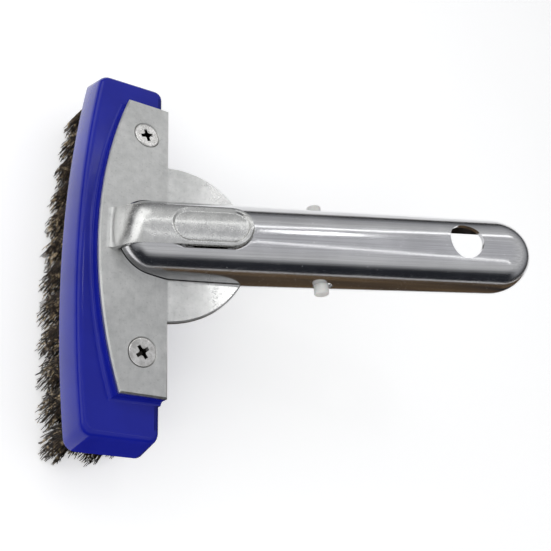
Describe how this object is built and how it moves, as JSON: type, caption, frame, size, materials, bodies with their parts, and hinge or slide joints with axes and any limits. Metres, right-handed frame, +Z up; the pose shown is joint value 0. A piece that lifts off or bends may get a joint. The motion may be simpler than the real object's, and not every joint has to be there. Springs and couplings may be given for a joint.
{
  "type": "pool wall brush",
  "caption": "Short curved pool wall brush with wire bristles, screwed bracket and angled channel handle with sprung V clip for a telescopic pole.",
  "frame": {"origin": "centre of the flat tip of the middle tuft in the second row from the front, in the plane of the bristle tips", "axes": "+X towards the handle, across the block; +Y along the block, towards its left end seen from the handle's tip; +Z up, out of the bracket plate, away from the bristle tips"},
  "size_m": [0.1592, 0.1388, 0.099],
  "materials": {
    "blue_plastic": "gloss",
    "stamped_aluminium": "satin",
    "pressed_aluminium": "gloss",
    "plated_screw": "gloss",
    "white_nylon": "satin",
    "bristle_wire": "satin"
  },
  "bodies": {
    "brush": {"brush_block": "blue_plastic", "bracket_plate": "stamped_aluminium", "handle_channel": "pressed_aluminium", "screw_left": "plated_screw", "screw_right": "plated_screw", "clip_bridge": "white_nylon", "tuft_1_01": "bristle_wire", "tuft_1_02": "bristle_wire", "tuft_1_03": "bristle_wire", "tuft_1_04": "bristle_wire", "tuft_1_05": "bristle_wire", "tuft_1_06": "bristle_wire", "tuft_1_07": "bristle_wire", "tuft_1_08": "bristle_wire", "tuft_1_09": "bristle_wire", "tuft_1_10": "bristle_wire", "tuft_1_11": "bristle_wire", "tuft_1_12": "bristle_wire", "tuft_2_01": "bristle_wire", "tuft_2_02": "bristle_wire", "tuft_2_03": "bristle_wire", "tuft_2_04": "bristle_wire", "tuft_2_05": "bristle_wire", "tuft_2_06": "bristle_wire", "tuft_2_07": "bristle_wire", "tuft_2_08": "bristle_wire", "tuft_2_09": "bristle_wire", "tuft_2_10": "bristle_wire", "tuft_2_11": "bristle_wire", "tuft_3_01": "bristle_wire", "tuft_3_02": "bristle_wire", "tuft_3_03": "bristle_wire", "tuft_3_04": "bristle_wire", "tuft_3_05": "bristle_wire", "tuft_3_06": "bristle_wire", "tuft_3_07": "bristle_wire", "tuft_3_08": "bristle_wire", "tuft_3_09": "bristle_wire", "tuft_3_10": "bristle_wire", "tuft_3_11": "bristle_wire", "tuft_3_12": "bristle_wire", "tuft_4_01": "bristle_wire", "tuft_4_02": "bristle_wire", "tuft_4_03": "bristle_wire", "tuft_4_04": "bristle_wire", "tuft_4_05": "bristle_wire", "tuft_4_06": "bristle_wire", "tuft_4_07": "bristle_wire", "tuft_4_08": "bristle_wire", "tuft_4_09": "bristle_wire", "tuft_4_10": "bristle_wire", "tuft_4_11": "bristle_wire"},
    "clip_leg_left": {"clip_leg_left": "white_nylon"},
    "clip_leg_right": {"clip_leg_right": "white_nylon"}
  },
  "joints": [
    {"name": "clip_pinch_left", "type": "hinge", "parent": "brush", "child": "clip_leg_left", "pos_m": [0.03391, 0.003, 0.04163], "axis": [0.4019, 0, -0.9157], "range_deg": [0, 6], "stiffness_Nm_per_rad": 1},
    {"name": "clip_pinch_right", "type": "hinge", "parent": "brush", "child": "clip_leg_right", "pos_m": [0.03391, -0.003, 0.04163], "axis": [-0.4019, 0, 0.9157], "range_deg": [0, 6], "stiffness_Nm_per_rad": 1}
  ]
}
